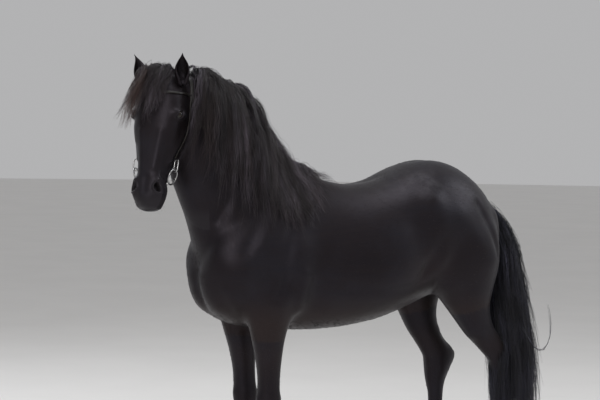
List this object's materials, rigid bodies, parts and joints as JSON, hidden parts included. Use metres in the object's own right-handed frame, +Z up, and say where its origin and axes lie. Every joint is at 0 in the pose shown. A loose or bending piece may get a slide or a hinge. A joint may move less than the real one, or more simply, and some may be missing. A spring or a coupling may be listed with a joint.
{
  "type": "icelandic horse",
  "caption": "Still, life-size model of a black horse standing with its head turned to its left, long mane, forelock and tail, wearing a plain bridle.",
  "frame": {"origin": "on the floor, in the middle of the model's box", "axes": "+X to the horse's left, +Y towards its tail, +Z up"},
  "size_m": [0.5598, 1.876, 1.8213],
  "materials": {
    "coat": "short glossy near-black coat",
    "hair": "long straight near-black hair",
    "horn": "dark hoof horn, satin",
    "eye": "wet dark brown",
    "leather": "dark, smooth",
    "steel": "polished"
  },
  "bodies": {
    "root": {"bit_end_left": "steel", "bit_end_right": "steel", "bit_ring_left": "steel", "bit_ring_right": "steel", "browband": "leather", "cheek_link_left": "steel", "cheek_link_right": "steel", "cheekpiece_left": "leather", "cheekpiece_right": "leather", "crownpiece": "leather", "ear_left": "coat", "ear_right": "coat", "eye_left": "eye", "eye_right": "eye", "fore_left_hoof": "horn", "fore_left_lower": "coat", "fore_left_upper": "coat", "fore_right_hoof": "horn", "fore_right_lower": "coat", "fore_right_upper": "coat", "head": "coat", "hind_left_hoof": "horn", "hind_left_lower": "coat", "hind_left_upper": "coat", "hind_right_hoof": "horn", "hind_right_lower": "coat", "hind_right_upper": "coat", "neck": "coat", "tail": "hair", "throatlatch_left": "leather", "throatlatch_right": "leather", "torso": "coat"}
  },
  "joints": []
}
